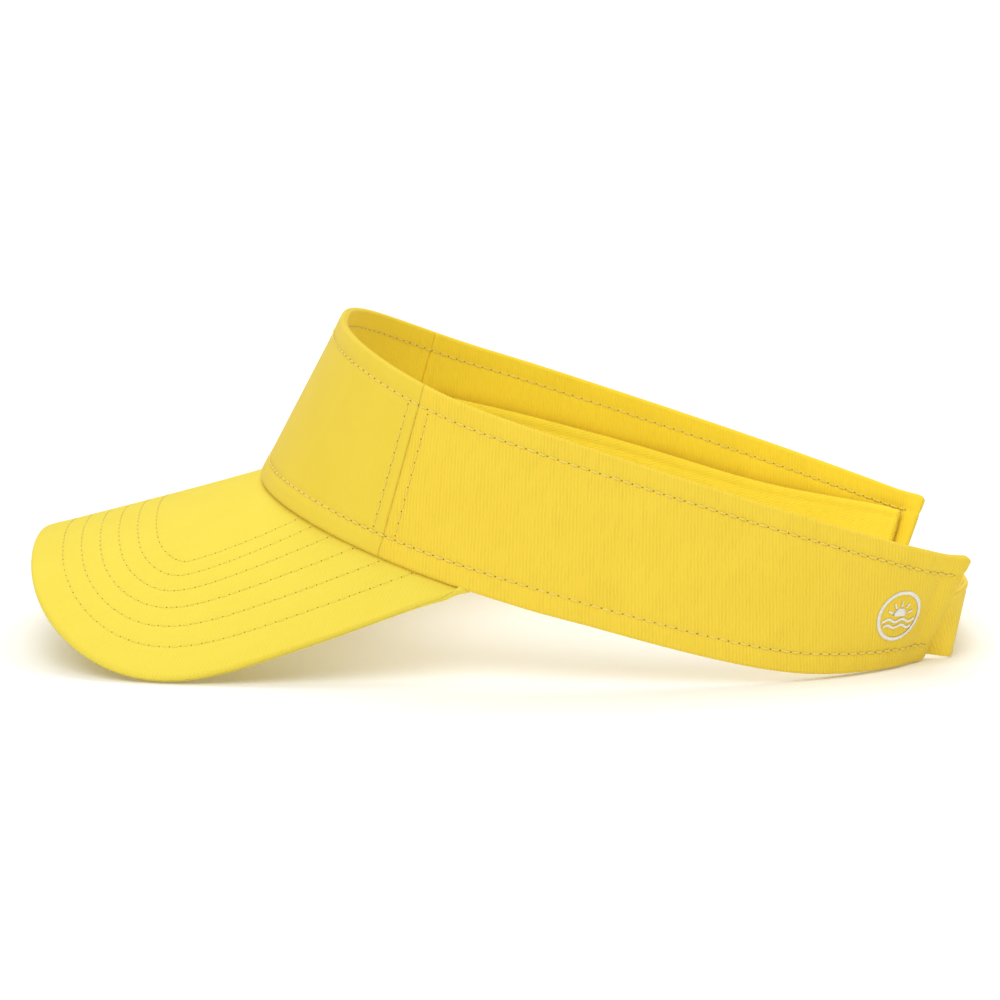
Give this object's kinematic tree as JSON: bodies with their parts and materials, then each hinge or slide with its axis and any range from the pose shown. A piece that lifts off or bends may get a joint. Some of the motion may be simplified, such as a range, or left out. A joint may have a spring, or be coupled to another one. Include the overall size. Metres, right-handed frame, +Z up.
{
  "type": "sun visor",
  "caption": "Sun visor with a curved stitched bill, a padded open crown band and a hook-and-loop strap at the back.",
  "frame": {"origin": "on the table plane, under the middle of the visor's length and width", "axes": "+Z up, the bill points to -Y, +X is the wearer's left"},
  "size_m": [0.16, 0.2676, 0.0927],
  "materials": {
    "bill_twill": "matt cotton twill",
    "band_twill": "matt cotton twill",
    "lining_twill": "matt cotton twill",
    "sweatband_twill": "matt cotton twill",
    "thread": "spun polyester thread",
    "buckram": "fused stiffening cloth",
    "padding": "soft non-woven",
    "board": "moulded polyethylene",
    "webbing": "woven twill strap",
    "hook_tape": "moulded hooks on woven tape",
    "loop_tape": "napped loops on woven tape",
    "emblem_thread": "satin embroidery"
  },
  "bodies": {
    "crown": {"bill_board": "board", "bill_top_cover": "bill_twill", "bill_under_cover": "bill_twill", "bill_stitching": "thread", "front_panel": "band_twill", "left_side_panel": "band_twill", "right_side_panel": "band_twill", "front_stiffener": "buckram", "front_lining": "lining_twill", "left_lining": "lining_twill", "right_lining": "lining_twill", "sweatband_cover": "sweatband_twill", "sweatband_padding": "padding", "top_edge_stitching": "thread", "bottom_edge_stitching": "thread", "left_seam_stitching": "thread", "right_seam_stitching": "thread", "sweatband_stitching": "thread", "left_strap_root": "webbing", "right_tab_root": "webbing", "rear_emblem": "emblem_thread"},
    "strap": {"left_strap": "webbing", "hook_tape": "hook_tape"},
    "tab": {"right_tab": "webbing", "loop_tape": "loop_tape"}
  },
  "joints": [
    {"name": "strap_peel", "type": "hinge", "parent": "crown", "child": "strap", "pos_m": [0.041, 0.12753, 0.0105], "axis": [0, 0, -1], "range_deg": [0, 100]},
    {"name": "tab_flex", "type": "hinge", "parent": "crown", "child": "tab", "pos_m": [-0.041, 0.12453, 0.00775], "axis": [0, 0, -1], "range_deg": [0, 18]}
  ]
}
